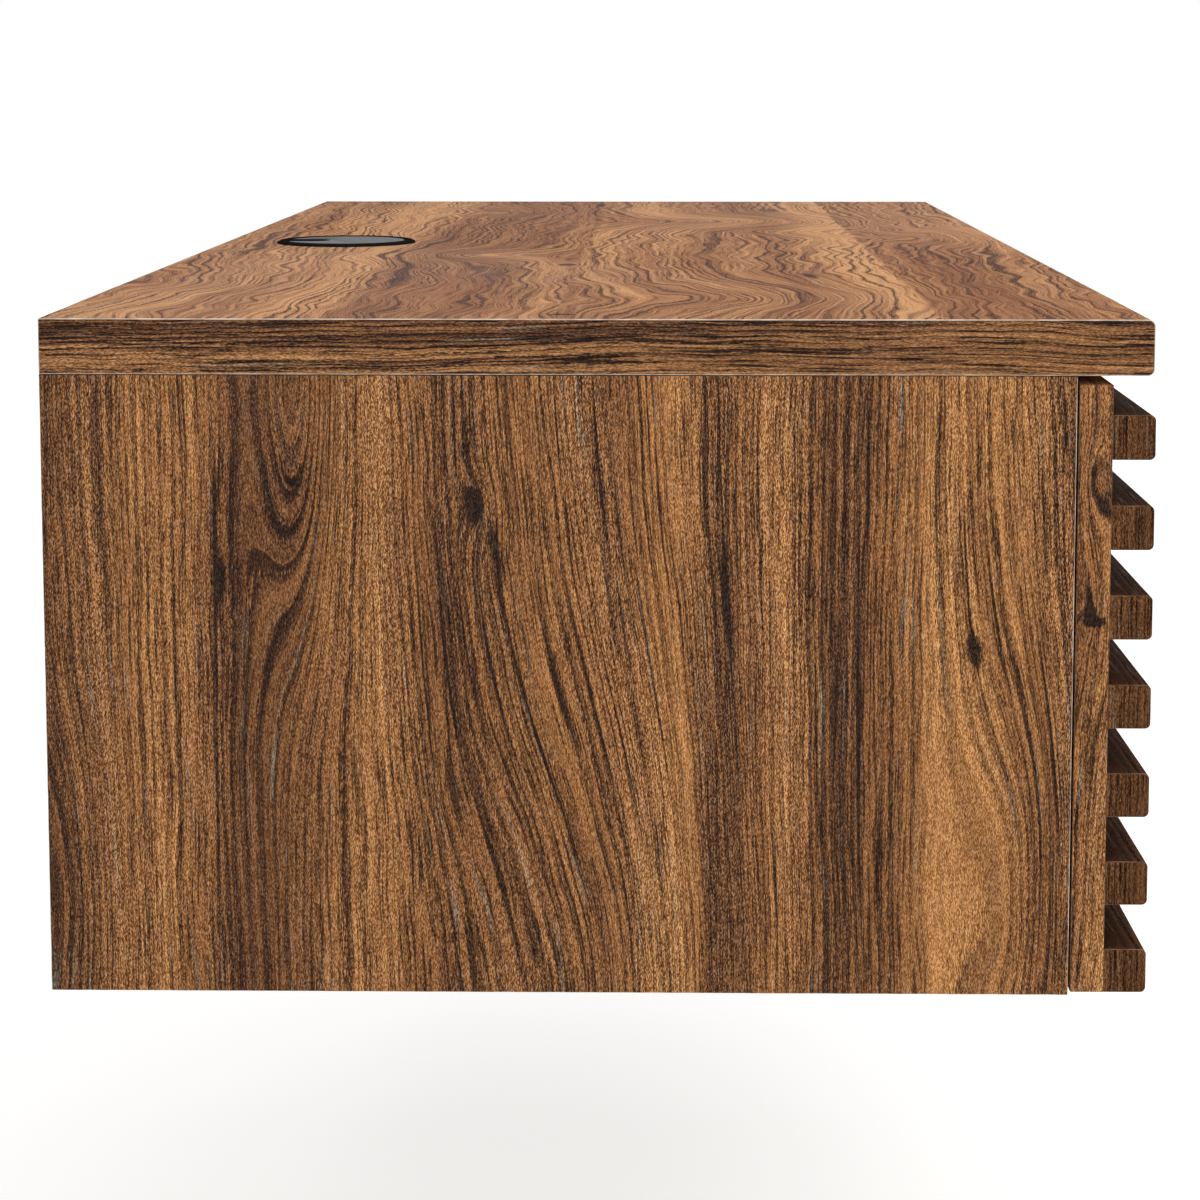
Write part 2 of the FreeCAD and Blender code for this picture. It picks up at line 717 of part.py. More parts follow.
for index in range(balls_per_row):
    ball_y = f"(({index} + 0.5) * {cage_length} / {balls_per_row})"
    cut_later("cage_strip", rod(f"ball_hole_{index}", (ball_x, ball_y, cage_low), "+z",
                                f"{ball_radius} + Size.ball_play", "Size.cage_gauge"))
    balls.append(copy_of(ball, f"ball_{index}", (ball_x, ball_y, ball_z)))
cage_strip = machined("cage_strip", cage_angle)
ball_row = grouped("ball_row", balls)


def upper_and_lower(source, name):
    """A cage or its balls above and below the runner's axis."""
    upper = copy_of(source, f"{name}_upper", (bay_left, cage_front, runner_axis_height))
    lower = copy_of(source, f"{name}_lower",
                    (bay_left, f"{cage_front} + {cage_length}", runner_axis_height),
                    Rotation(Vector(1, 0, 0), 180))
    return grouped(name, [upper, lower])


def with_stops(channel, name, x_low, width, y_low):
    """A channel with the tabs bent in at one end that stop the cages."""
    tabs = []
    for level, sign in (("upper", "+"), ("lower", "-")):
        z_low = f"{runner_axis_height} {sign} {race_z} - Size.stop_height / 2"
        tabs.append(block(f"{name}_{level}_stop", (f"{bay_left} + {x_low}", y_low, z_low),
                          (width, gauge, "Size.stop_height")))
    return fused(f"{name}_stock", [channel] + tabs)


cabinet_stock = with_stops(cabinet_channel, "cabinet_member", gauge,
                           "Size.cage_play + Size.cage_gauge", runner_front)
drawer_stock = with_stops(drawer_channel, "drawer_member", cage_x,
                          f"{inner_lip} + {gauge} - {cage_x}",
                          f"{runner_front} + {runner_length} - {gauge}")

# Three screws hold each member, heads inside the channel.
cabinet_runner_screws = []
drawer_runner_screws = []
for index, distance in enumerate((
    "Size.runner_screw_inset",
    f"{runner_length} / 2",
    f"{runner_length} - Size.runner_screw_inset",
)):
    y_line = f"({runner_front} + {distance})"
    cabinet_place = (f"({bay_left} + {gauge})", y_line, runner_axis_height)
    far_place = (f"({bay_right} - {gauge})", y_line, runner_axis_height)
    drawer_place = (f"({box_left} - {gauge})", y_line, runner_axis_height)
    cabinet_runner_screws += [
        small_screw_joint(f"cabinet_outer_{index}", ["cabinet_member", "outer_side"],
                          cabinet_place, "+x"),
        small_screw_joint(f"cabinet_inner_{index}", ["inner_side"], far_place, "-x"),
    ]
    drawer_runner_screws.append(
        small_screw_joint(f"drawer_{index}", ["drawer_member", "box_side"], drawer_place, "-x"))

# ---- Drawer: slatted front on a grooved box ------------------------------------------------

front_board = block("front_board", (left_end, front_face, front_floor),
                    ("Size.pedestal_width", "Size.front_thickness", front_height))
box_side_board = block("box_side_board", (box_left, front_rear, box_floor),
                       ("Size.box_board", box_length, box_height))
box_back_board = block("box_back_board", (box_inner_left, box_back_face, box_floor),
                       (box_inner_width, "Size.box_board", box_height))

# The thin bottom sits in grooves of the front, the sides and the back.
bottom_floor = f"({box_floor} + Size.bottom_rise)"
bottom_groove = block(
    "bottom_groove",
    (f"{box_inner_left} - Size.bottom_groove_depth", f"{front_rear} - Size.bottom_groove_depth",
     bottom_floor),
    (f"{box_inner_width} + 2 * Size.bottom_groove_depth",
     f"{box_length} - Size.box_board + 2 * Size.bottom_groove_depth",
     "Size.box_bottom + 2 * Size.groove_play"),
)
for piece in ("drawer_front", "box_side", "box_back"):
    cut_later(piece, bottom_groove)
bottom_reach = "(Size.bottom_groove_depth - Size.groove_end_play)"
drawer_bottom = block(
    "drawer_bottom_board",
    (f"{box_inner_left} - {bottom_reach}", f"{front_rear} - {bottom_reach}",
     f"{bottom_floor} + Size.groove_play"),
    (f"{box_inner_width} + 2 * {bottom_reach}",
     f"{box_length} - Size.box_board + 2 * {bottom_reach}", "Size.box_bottom"),
)

# Slats run the full width of the front, each held by two screws from behind.
drawer_screws = []
slats = []
for index in range(slat_count):
    slat_floor = f"({front_floor} + {index} * {slat_pitch})"
    slat_axis = f"({slat_floor} + Size.slat_height / 2)"
    piece = f"slat_{index + 1}"
    stock = extruded(f"{piece}_stock", "YZ_Plane", [
        ("-Size.slat_depth", "0"),
        ("0", "0"),
        ("0", "Size.slat_height"),
        ("-Size.slat_depth", "Size.slat_height"),
    ], "Size.pedestal_width")
    put(stock, (left_end, front_face, slat_floor))
    slats.append((piece, stock))
    for end, x_line in (
        ("outer", f"({left_end} + Size.slat_screw_inset)"),
        ("inner", f"({left_end} + Size.pedestal_width - Size.slat_screw_inset)"),
    ):
        drawer_screws.append(screw_joint(f"{piece}_{end}", ["drawer_front", piece],
                                         (x_line, front_rear, slat_axis), "+y"))
    # Every second slat hides the screws that hold the front to the box sides.
    if index % 2 == 1:
        for end, x_line, boards in (
            ("outer", f"({box_left} + Size.box_board / 2)", ["drawer_front", "box_side"]),
            ("inner", f"({box_left} + {box_width} - Size.box_board / 2)", ["drawer_front"]),
        ):
            drawer_screws.append(screw_joint(f"front_{index}_{end}", boards,
                                             (x_line, front_face, slat_axis), "-y"))

# The back is screwed through the sides.
y_line = f"({box_rear} - Size.box_board / 2)"
for level, z_line in (
    ("lower", f"({box_floor} + Size.back_screw_inset)"),
    ("upper", f"({box_floor} + {box_height} - Size.back_screw_inset)"),
):
    drawer_screws += [
        screw_joint(f"back_{level}_outer", ["box_side", "box_back"],
                    (box_left, y_line, z_line), "-x"),
        screw_joint(f"back_{level}_inner", ["box_back"],
                    (f"({box_left} + {box_width})", y_line, z_line), "+x"),
    ]

# ---- Grommet: a liner in the worktop's hole and a loose cap with a cable slot ---------------

sleeve_radius = "(Size.grommet_hole_radius - Size.grommet_fit)"
sleeve_inside = f"({sleeve_radius} - Size.grommet_wall)"
flange_radius = "(Size.grommet_hole_radius + Size.grommet_flange)"
seat_radius = "(Size.cap_radius + Size.cap_edge_play)"
ledge_face = "(Size.grommet_height - Size.cap_recess - Size.cap_thickness)"
ledge_inside = f"({sleeve_inside} - Size.grommet_ledge)"
grommet_place = ("0", grommet_line, top_face)
liner = turned("grommet_liner_body", [
    (sleeve_inside, "-Size.grommet_depth"),
    (sleeve_radius, "-Size.grommet_depth"),
    (sleeve_radius, "0"),
    (flange_radius, "0"),
    (flange_radius, "Size.grommet_edge"),
    (f"{flange_radius} - Size.grommet_bevel", "Size.grommet_height"),
    (seat_radius, "Size.grommet_height"),
    (seat_radius, ledge_face),
    (ledge_inside, ledge_face),
    (ledge_inside, f"{ledge_face} - Size.grommet_wall"),
    (sleeve_inside, f"{ledge_face} - Size.grommet_wall"),
])
put(liner, grommet_place)

cap_floor = f"({ledge_face} + Size.cap_play)"
cap_face = f"({cap_floor} + Size.cap_thickness)"
skirt_radius = f"({ledge_inside} - Size.cap_edge_play)"
skirt_inside = f"({skirt_radius} - Size.cap_skirt_wall)"
cap_blank = turned("cap_blank", [
    ("0", cap_floor),
    (skirt_inside, cap_floor),
    (skirt_inside, f"{cap_floor} - Size.cap_skirt_depth"),
    (skirt_radius, f"{cap_floor} - Size.cap_skirt_depth"),
    (skirt_radius, cap_floor),
    ("Size.cap_radius", cap_floor),
    ("Size.cap_radius", f"{cap_face} - Size.cap_chamfer"),
    ("Size.cap_radius - Size.cap_chamfer", cap_face),
    ("0", cap_face),
])
put(cap_blank, grommet_place)
slot_axis = (f"{grommet_line} + Size.cable_slot_start", f"{top_face} - Size.grommet_depth")
cut_later("grommet_cap", rod("cable_slot_end", ("0",) + slot_axis, "+z",
                             "Size.cable_slot_width / 2", "2 * Size.grommet_depth"))
cut_later("grommet_cap", block("cable_slot", ("-Size.cable_slot_width / 2",) + slot_axis,
                               ("Size.cable_slot_width", "Size.cap_radius",
                                "2 * Size.grommet_depth")))

# Bumpers: soft dots on the sides' front edges.
bumpers = []
for side, x_middle in (
    ("outer", f"({left_end} + {half_panel})"),
    ("inner", f"({bay_right} + {half_panel})"),
):
    for level, z_line in (
        ("lower", f"({side_floor} + Size.bumper_inset)"),
        ("upper", f"({top_under} - Size.bumper_inset)"),
    ):
        bumpers.append(rod(f"bumper_{side}_{level}", (x_middle, side_front, z_line), "-y",
                           "Size.bumper_radius", "Size.front_gap - Size.bumper_play"))

# ---- Sub-parts ------------------------------------------------------------------------------

node(machined("worktop", worktop_board, both_halves=True), "worktop")
node(machined("wall_rail", rail_board, both_halves=True), "wall_rail")
node(liner, "grommet_liner")
node(machined("grommet_cap", cap_blank), "grommet_cap")

node_pair(machined("outer_side", outer_side_board), "outer_side")
node_pair(machined("inner_side", inner_side_board), "inner_side")
node_pair(machined("pedestal_bottom", bottom_board), "pedestal_bottom")
node_pair(back, "pedestal_back")

node_pair(machined("drawer_front", front_board), "drawer_front")
for piece, stock in slats:
    round_edges(stock, "Size.slat_round",
                lambda box: box.YMax < 0.001 - driving_sizes["slat_depth"] and box.XLength > 1)
    node_pair(machined(piece, stock), piece)
box_side = machined("box_side", box_side_board)
node_pair(box_side, "box_side_outer")
node_pair(mirrored(box_side, "box_side_inner", bay_middle), "box_side_inner")
node_pair(machined("box_back", box_back_board), "box_back")
node_pair(drawer_bottom, "drawer_bottom")

for stem, runner_piece in (
    ("cabinet_member", machined("cabinet_member", cabinet_stock)),
    ("drawer_member", machined("drawer_member", drawer_stock)),
    ("ball_cage", upper_and_lower(cage_strip, "cages")),
):
    node_pair(runner_piece, f"{stem}_outer")
    node_pair(mirrored(runner_piece, f"{stem}_inner", bay_middle), f"{stem}_inner")
outer_balls = upper_and_lower(ball_row, "outer_balls")
inner_balls = mirrored(outer_balls, "inner_balls", bay_middle)
node_pair(grouped("bay_balls", [outer_balls, inner_balls]), "runner_balls")

far_screws = mirrored(grouped("near_screws", drawer_runner_screws), "far_screws", bay_middle)
node_pair(grouped("box_runner_screws", drawer_runner_screws + [far_screws]),
          "drawer_runner_screws")
node_pair(grouped("box_screws", drawer_screws), "drawer_screws")

# Fasteners of the fixed carcass: both halves share one node.
for label, left_half in (
    ("cam_locks", cams),
    ("cam_bolts", cam_bolts),
    ("dowels", dowels),
    ("runner_screws", cabinet_runner_screws),
    ("bumpers", bumpers),
):
    half = grouped(f"{label}_left_half", left_half)
    node(grouped(f"{label}_set", [half, mirrored(half, f"{label}_right_half")]), label)

# ---- Check and write ------------------------------------------------------------------------

doc.recompute()
for thing in doc.Objects:
    if {"Invalid", "Error"} & set(thing.State):
        raise RuntimeError(f"{thing.Label} did not build: {thing.State}")
for piece in nodes:
    if piece.Shape.isNull() or not piece.Shape.isValid():
        raise RuntimeError(f"{piece.Label} has no valid shape")

os.makedirs("parts", exist_ok=True)
for piece in nodes:
    piece.Shape.exportStep(f"parts/{piece.Label}.step")
print(len(nodes), "sub-parts written")
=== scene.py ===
import math

import bpy
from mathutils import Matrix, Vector


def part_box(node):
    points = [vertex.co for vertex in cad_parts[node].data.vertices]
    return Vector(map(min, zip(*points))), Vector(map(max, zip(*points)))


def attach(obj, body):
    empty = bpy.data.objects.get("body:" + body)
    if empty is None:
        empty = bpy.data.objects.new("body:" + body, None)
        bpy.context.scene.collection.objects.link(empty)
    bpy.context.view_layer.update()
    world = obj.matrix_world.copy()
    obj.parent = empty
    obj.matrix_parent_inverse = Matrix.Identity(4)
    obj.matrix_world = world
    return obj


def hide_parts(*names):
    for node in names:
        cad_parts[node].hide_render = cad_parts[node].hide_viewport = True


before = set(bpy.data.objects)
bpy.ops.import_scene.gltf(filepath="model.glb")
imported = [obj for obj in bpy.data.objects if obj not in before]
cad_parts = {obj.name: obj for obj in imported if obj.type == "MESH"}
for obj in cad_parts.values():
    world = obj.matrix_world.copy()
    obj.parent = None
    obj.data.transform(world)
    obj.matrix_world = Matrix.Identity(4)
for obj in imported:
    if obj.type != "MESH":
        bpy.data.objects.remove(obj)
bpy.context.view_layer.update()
scene = bpy.context.scene

# ---- Studio ---------------------------------------------------------------------------------
# The desk hangs at its working height over a plain pale floor, under a broad softbox with three
# weaker fills round it, and is seen from its left end against white.

top_above_floor = 0.76
floor_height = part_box("worktop")[1].z - top_above_floor


class Recipe:
    """A node tree written down step by step: each step adds one node and plugs its inputs."""

    def __init__(self, tree):
        self.tree = tree
        tree.nodes.clear()

    def plug(self, value, socket):
        if isinstance(value, Level):
            value = value.socket
        if isinstance(value, bpy.types.NodeSocket):
            self.tree.links.new(value, socket)
        else:
            socket.default_value = value

    def step(self, kind, inputs=None, **settings):
        node = self.tree.nodes.new(kind)
        for name, value in settings.items():
            setattr(node, name, value)
        for name, value in (inputs or {}).items():
            self.plug(value, node.inputs[name])
        return node

    def level(self, kind, inputs=None, **settings):
        """What the first output of one step gives."""
        return Level(self, self.step(kind, inputs, **settings).outputs[0])


class Level:
    """What one socket gives over a surface. Each sum with it adds a Math node to its recipe."""

    def __init__(self, recipe, socket):
        self.recipe = recipe
        self.socket = socket

    def __add__(self, other):
        return maths(self.recipe, "ADD", self, other)

    def __sub__(self, other):
        return maths(self.recipe, "SUBTRACT", self, other)

    def __mul__(self, other):
        return maths(self.recipe, "MULTIPLY", self, other)

    def __truediv__(self, other):
        return maths(self.recipe, "DIVIDE", self, other)

    def __radd__(self, other):
        return maths(self.recipe, "ADD", other, self)

    def __rsub__(self, other):
        return maths(self.recipe, "SUBTRACT", other, self)

    def __rtruediv__(self, other):
        return maths(self.recipe, "DIVIDE", other, self)

    def __rpow__(self, other):
        return maths(self.recipe, "POWER", other, self)


def maths(recipe, operation, first, second=0.0, clamp=False):
    """The level that one Math node gives."""
    return recipe.level("ShaderNodeMath", {0: first, 1: second},
                        operation=operation, use_clamp=clamp)


def new_material(name):
    """A bare material and the recipe that fills it."""
    material = bpy.data.materials.new(name)
    material.use_nodes = True
    return material, Recipe(material.node_tree)


def spot_on_piece(recipe):
    """The place of a point on a piece, in the desk's own metres."""
    return recipe.step("ShaderNodeTexCoord").outputs["Object"]


def coat(recipe, inputs):
    """The surface of a material: one Principled shader."""
    shader = recipe.step("ShaderNodeBsdfPrincipled", inputs)
    recipe.step("ShaderNodeOutputMaterial", {"Surface": shader.outputs[0]})


def only(thing):
    """Select one object and nothing else."""
    bpy.ops.object.select_all(action="DESELECT")
    thing.select_set(True)
    bpy.context.view_layer.objects.active = thing


lens = 78.66
lens_shift = (-0.022, -0.235)
eye = (-1.6554, -0.2775, 0.1818)
tilt_down, turn_left = math.radians(5.51), math.radians(0.80)
camera_data = bpy.data.cameras.new("camera")
camera_data.lens = lens
camera_data.shift_x, camera_data.shift_y = lens_shift
camera = bpy.data.objects.new("camera", camera_data)
camera.location = eye
camera.rotation_euler = (math.radians(90) - tilt_down, 0, math.radians(-90) + turn_left)
scene.collection.objects.link(camera)
scene.camera = camera
scene.view_settings.view_transform = "Standard"


def seen_directly(recipe):
    """1 for a ray that shows the background: from the camera, a mirror or a glass."""
    rays = recipe.step("ShaderNodeLightPath").outputs
    seen = maths(recipe, "ADD", rays["Is Camera Ray"], rays["Is Glossy Ray"], clamp=True)
    return maths(recipe, "ADD", seen, rays["Is Transmission Ray"], clamp=True)


world = bpy.data.worlds.new("studio")
world.use_nodes = True
scene.world = world
recipe = Recipe(world.node_tree)
ambient = recipe.step("ShaderNodeBackground", {"Color": (1, 0.99, 0.97, 1), "Strength": 0.5})
backdrop = recipe.step("ShaderNodeBackground", {"Color": (1, 1, 1, 1), "Strength": 1})
either = recipe.step("ShaderNodeMixShader", {"Fac": seen_directly(recipe),
                                             1: ambient.outputs[0], 2: backdrop.outputs[0]})
recipe.step("ShaderNodeOutputWorld", {"Surface": either.outputs[0]})

floor_size = 16
# Where it is seen directly the floor glows, so only a soft shadow stays. The glow rises from one
# distance to the other and hides where the floor ends.
near, far = 1.0, 5.0
near_glow, far_glow = 0.38, 0.75
only(camera)
bpy.ops.mesh.primitive_plane_add(size=floor_size, location=(0, 0, floor_height))
bpy.ops.object.transform_apply()
floor = bpy.context.object
floor.name = "floor"
floor_paint, recipe = new_material("pale_floor")
distance = recipe.step("ShaderNodeVectorMath", {0: spot_on_piece(recipe)}, operation="LENGTH")
glow = recipe.level("ShaderNodeMapRange", {
    "Value": distance.outputs["Value"], "From Min": near, "From Max": far,
    "To Min": near_glow, "To Max": far_glow,
})
coat(recipe, {
    "Base Color": (0.78, 0.78, 0.77, 1), "Roughness": 0.9, "Emission Color": (1, 1, 1, 1),
    "Emission Strength": glow * seen_directly(recipe),
})
floor.data.materials.append(floor_paint)


def softbox(name, position, aim, size, watts):
    """A square lamp that faces a point."""
    lamp = bpy.data.lights.new(name, "AREA")
    lamp.shape = "SQUARE"
    lamp.size = size
    lamp.energy = watts
    holder = bpy.data.objects.new(name, lamp)
    holder.location = position
    holder.rotation_euler = (Vector(aim) - Vector(position)).to_track_quat("-Z", "Y").to_euler()
    scene.collection.objects.link(holder)


desk_middle = (0, -0.25, 0)
softbox("overhead_softbox", (-0.5, -0.7, 2.3), desk_middle, 2.4, 36)
softbox("left_fill", (-3.2, -0.2, 0.9), desk_middle, 2.0, 22)
softbox("front_fill", (0.6, -3.4, 0.9), desk_middle, 2.0, 26)
softbox("rear_fill", (1.8, 3.0, 0.9), desk_middle, 2.0, 20)

# ---- Worktop --------------------------------------------------------------------------------
# One 25 mm particle board wrapped in walnut-print laminate, laid up as four leaves side by
# side. Its long front edges are softly rounded, its ends are edge-banded, and it is held from
# below by cam bolts and dowels.

def group(name, inputs, outputs):
    """An empty node group with named inputs and outputs, its recipe and what it is given."""
    tree = bpy.data.node_groups.new(name, "ShaderNodeTree")
    for socket, (kind, value) in inputs.items():
        made = tree.interface.new_socket(socket, in_out="INPUT", socket_type=kind)
        made.default_value = value
    for socket, kind in outputs.items():
        tree.interface.new_socket(socket, in_out="OUTPUT", socket_type=kind)
    recipe = Recipe(tree)
    sockets = recipe.step("NodeGroupInput").outputs
    return tree, recipe, {socket: Level(recipe, sockets[socket]) for socket in inputs}


def point(recipe, along, across, through):
    """A point from its three places."""
    return recipe.level("ShaderNodeCombineXYZ", {"X": along, "Y": across, "Z": through})


def noise(recipe, spot, lumps, detail=2.0, roughness=0.5):
    """Smooth noise from 0 to 1, with so many lumps to the metre along each axis."""
    spread = recipe.level("ShaderNodeVectorMath", {0: spot, 1: lumps}, operation="MULTIPLY")
    return recipe.level("ShaderNodeTexNoise", {
        "Vector": spread, "Scale": 1.0, "Detail": detail, "Roughness": roughness,
    })


def ease(recipe, value, low, high, to_low=0.0, to_high=1.0):
    """A smooth step of a value from one level to another."""
    return recipe.level("ShaderNodeMapRange", {
        "Value": value, "From Min": low, "From Max": high, "To Min": to_low, "To Max": to_high,
    }, interpolation_type="SMOOTHSTEP")


def blended(recipe, share, first, second):
    """One colour mixed into another."""
    mixer = recipe.step("ShaderNodeMix", {0: share, 6: first, 7: second}, data_type="RGBA")
    return mixer.outputs[2]


NUMBER, COLOUR, VECTOR = "NodeSocketFloat", "NodeSocketColor", "NodeSocketVector"

tan = (0.635, 0.284, 0.089, 1)
brown = (0.305, 0.118, 0.034, 1)
umber = (0.078, 0.025, 0.008, 1)
heart_line = (0.014, 0.006, 0.004, 1)
ash_pore = (0.300, 0.270, 0.210, 1)

walnut_figure, recipe, given = group("walnut_figure", {
    "Along": (NUMBER, 0.0),
    "Across": (NUMBER, 0.0),
    "Through": (NUMBER, 0.0),
    "Bend": (NUMBER, 0.0),
    "Wander": (NUMBER, 0.012),
    "Ripple": (NUMBER, 0.0015),
    "Ring": (NUMBER, 0.005),
    "Line Strength": (NUMBER, 0.8),
    "Tone": (NUMBER, 0.0),
    "Contrast": (NUMBER, 1.0),
    "Banding": (NUMBER, 1.0),
    "Pores": (NUMBER, 0.82),
    "Stipple": (NUMBER, 0.95),
    "Smudge": (NUMBER, 0.0),
    "Light": (COLOUR, tan),
    "Middle": (COLOUR, brown),
    "Dark": (COLOUR, umber),
    "Line": (COLOUR, heart_line),
    "Ash": (COLOUR, ash_pore),
}, {"Color": COLOUR, "Roughness": NUMBER, "Height": NUMBER})

# The grain is read at a place that slow noise, ripples and knots have pushed sideways. Noise
# keeps near its middle, so five times its swing comes to about the wander that is asked for.
full_swing = 5.0
spot = point(recipe, given["Along"], given["Across"], given["Through"])
slow = noise(recipe, spot, (2.6, 7.0, 1.0), 1.5)
quick = noise(recipe, spot, (14.0, 30.0, 1.0), 1.5)
push = (slow - 0.5) * (given["Wander"] * full_swing)
shiver = (quick - 0.5) * (given["Ripple"] * full_swing)
grain = given["Across"] + (given["Bend"] + (push + shiver))
on_grain = point(recipe, given["Along"], grain, given["Through"])

# Fibres: fine dashes along the grain that make every line ragged.
fibre = noise(recipe, spot, (200.0, 1900.0, 1.0), 1.0, 0.8) - 0.5

# Growth rings: each darkens slowly and ends in a sharp line, some of them hardly at all.
uneven = noise(recipe, on_grain, (0.8, 45.0, 1.0), 1.0)
turn = grain / given["Ring"] + (uneven * 5.0 + fibre * 0.9)
ring = maths(recipe, "FRACT", turn)
late_wood = ease(recipe, ring, 0.30, 1.0)
ring_line = ease(recipe, ring, 0.66, 0.84)
presence = ease(recipe, noise(recipe, on_grain, (3.5, 75.0, 1.0)), 0.38, 0.62)
# A smudge below nothing is a calm leaf, where the lines fade.
calm = maths(recipe, "MINIMUM", given["Smudge"], 0.0)
lively = maths(recipe, "ADD", calm, 1.0, clamp=True)
line = maths(recipe, "MULTIPLY", ring_line * presence, given["Line Strength"] * lively,
             clamp=True)

# Dark hearts join the lines: some come from noise, the rest from the smudges of a board.
heart = noise(recipe, on_grain, (6.0, 120.0, 3.0), 1.5)
line = maths(recipe, "MAXIMUM", line, ease(recipe, heart + fibre * 0.3, 0.71, 0.82))
line = maths(recipe, "MAXIMUM", line,
             ease(recipe, given["Smudge"] + fibre * 0.8, 0.25, 0.75))

# Colour: broad bands and fine streaks set the tone, with sparse pale flecks over it.
band = noise(recipe, on_grain, (1.3, 30.0, 1.0))
streaks = noise(recipe, on_grain, (5.0, 330.0, 1.0), 3.0, 0.6)
swing = (band - 0.5) * given["Banding"] + (streaks - 0.5) * 0.8 + fibre * 0.6
swing = swing * (given["Contrast"] * (lively * 0.6 + 0.4))
tone = swing + 0.5 + given["Tone"] - late_wood * 0.12
pale = ease(recipe, tone, 0.42, 0.85)
colour = blended(recipe, ease(recipe, tone, 0.15, 0.50), given["Dark"], given["Middle"])
colour = blended(recipe, pale, colour, given["Light"])
flecks = ease(recipe, noise(recipe, spot, (800.0, 2300.0, 500.0), 0.0), 0.56, 0.70)
colour = blended(recipe, flecks * (given["Stipple"] * 0.25), colour, given["Ash"])
colour = blended(recipe, line * 0.97, colour, given["Line"])

# Pores: thin dark threads along the grain, broken by the fibres and fewer where the wood is
# pale, and a greyer print here and there.
threads = noise(recipe, on_grain, (26.0, 1000.0, 1.0), 1.0, 0.7)
pore = ease(recipe, threads + fibre * 0.5, 0.53, 0.62)
pore = pore * (given["Pores"] * (lively * 0.85 + 0.15)) * (1.05 - pale * 0.45)
colour = blended(recipe, pore, colour, given["Line"])
cloud = noise(recipe, on_grain, (12.0, 400.0, 7.0), 3.0, 0.7)
colour = blended(recipe, ease(recipe, cloud, 0.60, 0.74, 0.0, 0.45), colour, given["Ash"])

# The print's stipple: crisp upright specks that deepen and pale the colour like an engraving.
dots = ease(recipe, noise(recipe, spot, (800.0, 3300.0, 900.0), 0.0), 0.36, 0.64)
patches = noise(recipe, on_grain, (2.0, 28.0, 3.0), 1.0)
speck = (dots - 0.5) * (ease(recipe, patches, 0.3, 0.7, 0.7, 1.2) * given["Stipple"])
colour = recipe.level("ShaderNodeGamma", {"Color": colour, "Gamma": 1.0 - speck * 0.4})
colour = recipe.level("ShaderNodeVectorMath", {0: colour, "Scale": 2.0 ** (speck * 1.2)},
                      operation="SCALE")

recipe.step("NodeGroupOutput", {
    "Color": colour,
    "Roughness": 0.50 + pore * 0.16 + slow * 0.08,
    "Height": speck * 0.6 - (pore + line * 0.5),
})

# A swelling that pushes the grain aside round a place, as a knot or a flame does.
swelling, recipe, given = group("grain_swelling", {
    "Along": (NUMBER, 0.0),
    "Across": (NUMBER, 0.0),
    "Centre Along": (NUMBER, 0.0),
    "Centre Across": (NUMBER, 0.0),
    "Reach Along": (NUMBER, 0.1),
    "Reach Across": (NUMBER, 0.02),
    "Strength": (NUMBER, 0.02),
}, {"Swelling": NUMBER})
run = (given["Along"] - given["Centre Along"]) / given["Reach Along"]
side = (given["Across"] - given["Centre Across"]) / given["Reach Across"]
core = maths(recipe, "EXPONENT", (run * run + side * side) * -1.0)
recipe.step("NodeGroupOutput", {"Swelling": core * given["Strength"]})


def total(recipe, along, across, marks):
    """Swellings or smudges added up: each has its place, its reach and its strength."""
    whole = 0.0
    for centre_along, centre_across, reach_along, reach_across, strength in marks:
        whole = whole + recipe.level("ShaderNodeGroup", {
            "Along": along, "Across": across,
            "Centre Along": centre_along, "Centre Across": centre_across,
            "Reach Along": reach_along, "Reach Across": reach_across,
            "Strength": strength,
        }, node_tree=swelling)
    return whole


# How deep the print is pressed.
print_relief = 0.0002


def walnut(name, along="X", across="Y", through="Z", seed=0.0, swellings=(), smudges=(),
           tones=(), strips=(), gloss=0.1, **values):
    """Walnut-print laminate whose grain runs along one axis of the desk."""
    material, recipe = new_material(name)
    axes = recipe.step("ShaderNodeSeparateXYZ", {0: spot_on_piece(recipe)}).outputs
    run, side, depth = (Level(recipe, axes[axis]) for axis in (along, across, through))
    depth = depth + seed
    for start, leaf in strips:
        depth = depth + maths(recipe, "LESS_THAN", side, start) * leaf
    bend = total(recipe, run, side, swellings)
    figure = recipe.step("ShaderNodeGroup", {
        "Along": run, "Across": side, "Through": depth, "Bend": bend,
        "Smudge": total(recipe, run, side + bend, smudges),
    }, node_tree=walnut_figure)
    for value_name, value in values.items():
        recipe.plug(value, figure.inputs[value_name.replace("_", " ").title()])
    if tones:
        first, last = tones[0][0], tones[-1][0]
        share = recipe.level("ShaderNodeMapRange", {
            "Value": side, "From Min": first, "From Max": last})
        ramp = recipe.step("ShaderNodeValToRGB", {0: share})
        marks = ramp.color_ramp.elements
        between = [marks.new(0.5) for _ in tones[2:]]
        for (start, tone), mark in zip(tones, [marks[0], *between, marks[-1]]):
            mark.position = (start - first) / (last - first)
            mark.color = (tone, tone, tone, 1)
        recipe.plug(Level(recipe, ramp.outputs[0]) - 0.5, figure.inputs["Tone"])
    bump = recipe.level("ShaderNodeBump", {
        "Height": figure.outputs["Height"], "Strength": 0.35, "Distance": print_relief})
    coat(recipe, {
        "Base Color": figure.outputs["Color"], "Roughness": figure.outputs["Roughness"],
        "Normal": bump, "Specular IOR Level": gloss,
    })
    return material


# Near-black painted shade, for the groove where a side meets the worktop.
painted_joint_shade = (0.012, 0.008, 0.007, 1)
above_the_desk = 1.0


